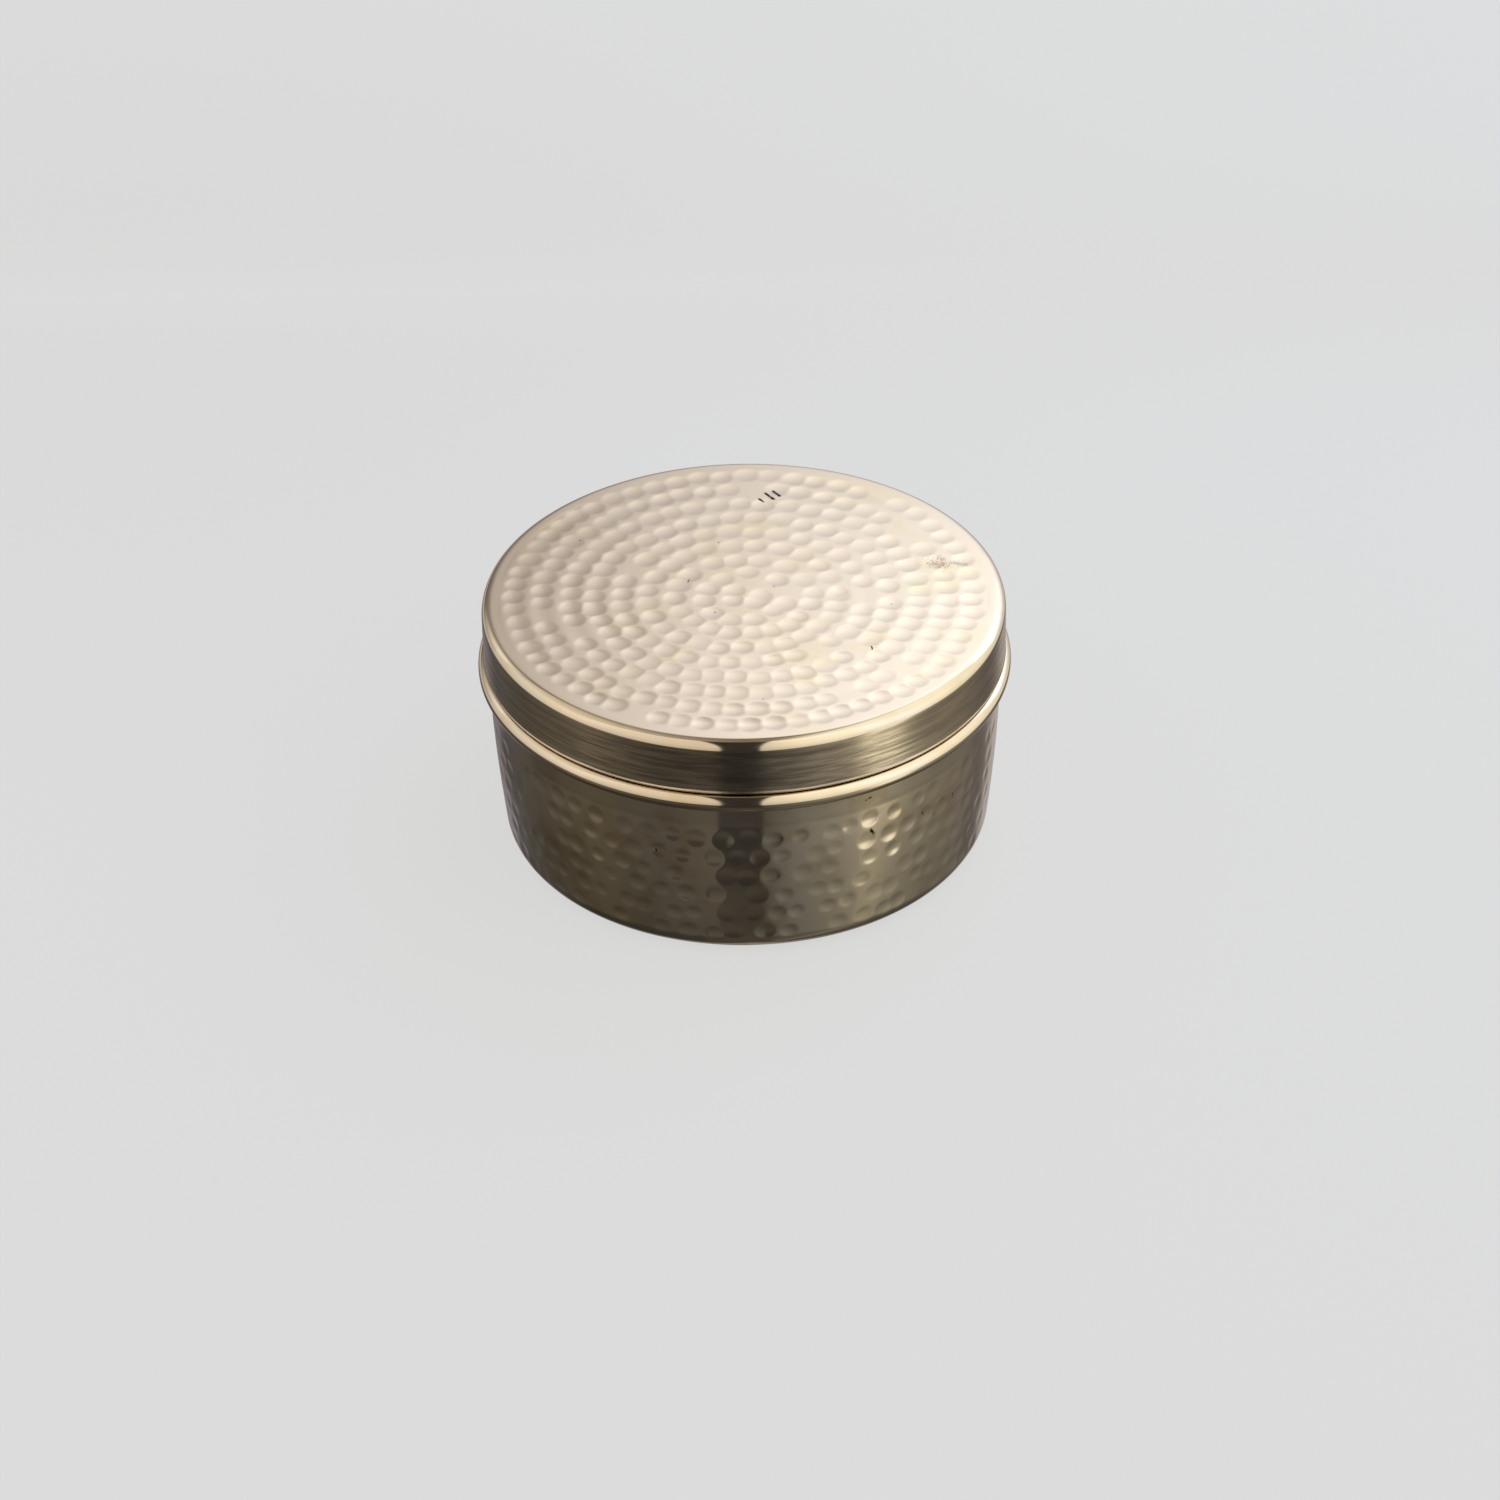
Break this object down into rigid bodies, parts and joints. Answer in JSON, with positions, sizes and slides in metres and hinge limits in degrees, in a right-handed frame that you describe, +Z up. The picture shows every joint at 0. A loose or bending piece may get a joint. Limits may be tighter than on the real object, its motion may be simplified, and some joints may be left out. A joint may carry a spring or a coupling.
{
  "type": "spice box",
  "caption": "Round hammered brass spice box with a slip-on flat lid, holding a ring of small round bowls around a centre bowl, and a spoon.",
  "frame": {"origin": "middle of the flat foot, on the surface that the box stands on", "axes": "+Z up along the box's own axis; the box is round, so X and Y follow the bowls: outer_bowl_1 stands on +X"},
  "size_m": [0.2044, 0.2044, 0.1005],
  "materials": {
    "hammered_brass": "hand-hammered dents under a satin polish, brushed and bright at the edges",
    "bowl_brass": "spun and fine-brushed in rings, polished lip",
    "spoon_brass": "pressed sheet, brushed along the handle"
  },
  "bodies": {
    "box": {"box_body": "hammered_brass"},
    "centre_bowl": {"centre_bowl": "bowl_brass"},
    "outer_bowl_1": {"outer_bowl_1": "bowl_brass"},
    "outer_bowl_2": {"outer_bowl_2": "bowl_brass"},
    "outer_bowl_3": {"outer_bowl_3": "bowl_brass"},
    "outer_bowl_4": {"outer_bowl_4": "bowl_brass"},
    "outer_bowl_5": {"outer_bowl_5": "bowl_brass"},
    "outer_bowl_6": {"outer_bowl_6": "bowl_brass"},
    "spoon": {"spoon": "spoon_brass"},
    "lid": {"lid": "hammered_brass"}
  },
  "joints": [
    {"name": "centre_bowl_lift", "type": "slide", "parent": "box", "child": "centre_bowl", "axis": [0, 0, 1], "range_m": [0, 0.098]},
    {"name": "outer_bowl_1_lift", "type": "slide", "parent": "box", "child": "outer_bowl_1", "axis": [0, 0, 1], "range_m": [0, 0.098]},
    {"name": "outer_bowl_2_lift", "type": "slide", "parent": "box", "child": "outer_bowl_2", "axis": [0, 0, 1], "range_m": [0, 0.098]},
    {"name": "outer_bowl_3_lift", "type": "slide", "parent": "box", "child": "outer_bowl_3", "axis": [0, 0, 1], "range_m": [0, 0.098]},
    {"name": "outer_bowl_4_lift", "type": "slide", "parent": "box", "child": "outer_bowl_4", "axis": [0, 0, 1], "range_m": [0, 0.098]},
    {"name": "outer_bowl_5_lift", "type": "slide", "parent": "box", "child": "outer_bowl_5", "axis": [0, 0, 1], "range_m": [0, 0.098]},
    {"name": "outer_bowl_6_lift", "type": "slide", "parent": "box", "child": "outer_bowl_6", "axis": [0, 0, 1], "range_m": [0, 0.098]},
    {"name": "spoon_lift", "type": "slide", "parent": "centre_bowl", "child": "spoon", "axis": [0, 0, 1], "range_m": [0, 0.022]},
    {"name": "lid_lift", "type": "slide", "parent": "spoon", "child": "lid", "axis": [0, 0, 1], "range_m": [0, 0.08]}
  ],
  "couplings": [
    {"joint": "outer_bowl_1_lift", "follows": "centre_bowl_lift", "ratio": 1},
    {"joint": "outer_bowl_2_lift", "follows": "centre_bowl_lift", "ratio": 1},
    {"joint": "outer_bowl_3_lift", "follows": "centre_bowl_lift", "ratio": 1},
    {"joint": "outer_bowl_4_lift", "follows": "centre_bowl_lift", "ratio": 1},
    {"joint": "outer_bowl_5_lift", "follows": "centre_bowl_lift", "ratio": 1},
    {"joint": "outer_bowl_6_lift", "follows": "centre_bowl_lift", "ratio": 1}
  ]
}
